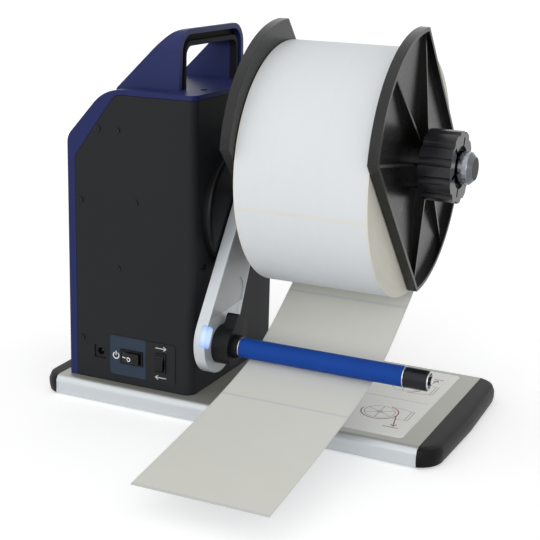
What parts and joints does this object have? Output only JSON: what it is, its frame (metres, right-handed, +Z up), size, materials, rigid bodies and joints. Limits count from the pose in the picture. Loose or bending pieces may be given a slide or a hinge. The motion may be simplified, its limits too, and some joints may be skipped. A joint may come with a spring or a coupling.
{
  "type": "label rewinder",
  "caption": "Desktop motor-driven label rewinder: housing with handle on a flat base, spindle with ribbed flanges and a loaded roll, tension arm with a rubber guide roller.",
  "frame": {"origin": "middle of the base's length and depth, on the table plane under the feet", "axes": "+Z up, +X along the spindle to its free end, +Y to the back: the label strip leaves to the front, -Y"},
  "size_m": [0.363, 0.3586, 0.3245],
  "materials": {
    "anodised_base": "satin anodised, fine lengthwise drawing lines",
    "black_moulding": "fine satin moulding",
    "foot_rubber": "matt",
    "charcoal_shell": "satin fine-texture paint",
    "navy_cover": "semi-gloss paint",
    "navy_moulding": "semi-gloss moulding",
    "grey_moulding": "satin moulding",
    "dark_screw": "blackened steel",
    "slate_plate": "printed satin plate",
    "gloss_black": "semi-gloss moulding",
    "bare_steel": "ground steel",
    "bare_aluminium": "turned aluminium",
    "pulley_plastic": "natural plastic",
    "motor_steel": "plated steel",
    "board_green": "circuit board",
    "bush_brass": "turned brass",
    "silver_arm": "pale silver-grey satin paint on a casting",
    "lit_window": "clear light guide, lit",
    "blue_rubber": "smooth satin rubber",
    "core_board": "kraft board",
    "label_paper": "white coated labels",
    "label_liner": "silicone-coated liner"
  },
  "bodies": {
    "machine": {"base_plate": "anodised_base", "end_cap_left": "black_moulding", "end_cap_right": "black_moulding", "rubber_feet": "foot_rubber", "housing_shell": "charcoal_shell", "housing_cover": "navy_cover", "carry_handle": "navy_moulding", "handle_liner": "grey_moulding", "panel_screws": "dark_screw", "cover_screws": "dark_screw", "side_screws": "dark_screw", "switch_plate": "slate_plate", "direction_plate": "black_moulding", "power_switch_body": "gloss_black", "direction_switch_body": "gloss_black", "dc_inlet": "gloss_black", "frame_plate": "bare_steel", "frame_screws": "bare_steel", "bearing_housing": "bare_aluminium", "spindle_bearings": "bare_steel", "drive_motor": "motor_steel", "drive_belt": "foot_rubber", "control_board": "board_green", "board_standoffs": "bush_brass", "arm_boss": "black_moulding", "arm_bush": "bush_brass", "arm_sensor": "navy_moulding", "label_web": "label_liner"},
    "spindle": {"spindle_shaft": "bare_aluminium", "driven_pulley": "pulley_plastic", "inner_flange": "black_moulding", "core_hub": "black_moulding"},
    "motor_rotor": {"motor_shaft": "bare_steel", "motor_pulley": "pulley_plastic"},
    "roll": {"roll_core": "core_board", "label_roll": "label_paper"},
    "clamp_flange": {"outer_flange": "black_moulding"},
    "clamp_knob": {"lock_knob": "black_moulding"},
    "arm": {"tension_arm": "silver_arm", "arm_cover": "silver_arm", "arm_light": "lit_window", "arm_shaft": "bare_steel", "roller_collar": "black_moulding", "roller_shaft": "bare_steel", "roller_end_stop": "black_moulding", "roller_end_screw": "bare_steel"},
    "guide_roller": {"roller_tube": "bare_aluminium", "roller_sleeve": "blue_rubber", "roller_rings": "bare_steel"},
    "power_button": {"power_rocker": "gloss_black"},
    "direction_button": {"direction_rocker": "gloss_black"}
  },
  "joints": [
    {"name": "spindle_spin", "type": "hinge", "parent": "machine", "child": "spindle", "pos_m": [0.06, 0, 0.218], "axis": [1, 0, 0], "continuous": true},
    {"name": "motor_spin", "type": "hinge", "parent": "machine", "child": "motor_rotor", "pos_m": [-0.055, 0.034, 0.126], "axis": [1, 0, 0], "continuous": true},
    {"name": "roll_spin", "type": "hinge", "parent": "machine", "child": "roll", "pos_m": [0.063, 0, 0.2084], "axis": [1, 0, 0], "continuous": true},
    {"name": "flange_slide", "type": "slide", "parent": "spindle", "child": "clamp_flange", "axis": [1, 0, 0], "range_m": [0, 0.03]},
    {"name": "knob_turn", "type": "hinge", "parent": "clamp_flange", "child": "clamp_knob", "pos_m": [0.144, 0, 0.218], "axis": [1, 0, 0], "range_deg": [0, 90]},
    {"name": "arm_swing", "type": "hinge", "parent": "machine", "child": "arm", "pos_m": [-0.024, -0.014, 0.166], "axis": [-1, 0, 0], "range_deg": [0, 35]},
    {"name": "roller_spin", "type": "hinge", "parent": "arm", "child": "guide_roller", "pos_m": [0.072, -0.065, 0.063], "axis": [1, 0, 0], "continuous": true},
    {"name": "power_switch", "type": "hinge", "parent": "machine", "child": "power_button", "pos_m": [-0.094, -0.0783, 0.0415], "axis": [0, 0, 1], "range_deg": [0, 16]},
    {"name": "direction_switch", "type": "hinge", "parent": "machine", "child": "direction_button", "pos_m": [-0.0659, -0.0783, 0.0415], "axis": [1, 0, 0], "range_deg": [0, 16]}
  ],
  "couplings": [
    {"joint": "roll_spin", "follows": "spindle_spin", "ratio": 0.74016},
    {"joint": "motor_spin", "follows": "spindle_spin", "ratio": 4}
  ]
}
